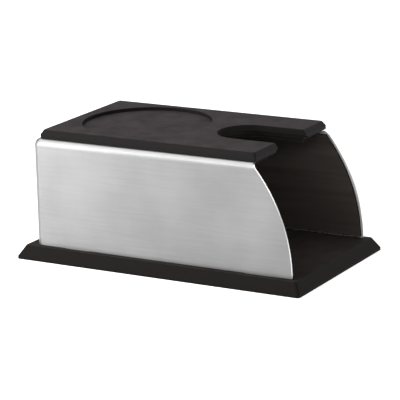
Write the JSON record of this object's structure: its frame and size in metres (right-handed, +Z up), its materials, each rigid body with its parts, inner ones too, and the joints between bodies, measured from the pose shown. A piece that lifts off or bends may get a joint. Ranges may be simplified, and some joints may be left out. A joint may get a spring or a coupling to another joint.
{
  "type": "espresso tamping station",
  "caption": "Bench stand for tamping espresso: folded steel shell with an open front, forked silicone top mat with a round tamper seat, bevelled silicone base.",
  "frame": {"origin": "centre of the base's underside, on the counter", "axes": "+Z up, -Y towards the open front where the portafilter goes in, +X to the right seen from the front"},
  "size_m": [0.121, 0.21, 0.0871],
  "materials": {
    "black_silicone": "matte moulded silicone",
    "brushed_stainless": "brushed along the length",
    "black_lining": "satin black sheet",
    "plate_steel": "black powder coat",
    "pad_rubber": "matte rubber",
    "zinc_fasteners": "zinc plated",
    "stainless_screws": "turned stainless",
    "black_nylon": "moulded nylon",
    "adhesive_foam": "foam tape"
  },
  "bodies": {
    "stand": {"base_mat": "black_silicone", "base_plate": "plate_steel", "anti_slip_pad": "pad_rubber", "outer_shell": "brushed_stainless", "rear_panel": "brushed_stainless", "left_liner": "black_lining", "right_liner": "black_lining", "top_liner": "black_lining", "rear_liner": "black_lining", "left_tape": "adhesive_foam", "right_tape": "adhesive_foam", "top_tape": "adhesive_foam", "rear_tape": "adhesive_foam", "base_screws": "zinc_fasteners", "flange_nuts": "zinc_fasteners", "rear_screws": "stainless_screws", "rear_washers": "black_nylon", "rear_nuts": "zinc_fasteners"},
    "mat": {"top_mat": "black_silicone"}
  },
  "joints": [
    {"name": "top_mat_lift", "type": "slide", "parent": "stand", "child": "mat", "axis": [0, 0, 1], "range_m": [0, 0.02]}
  ]
}
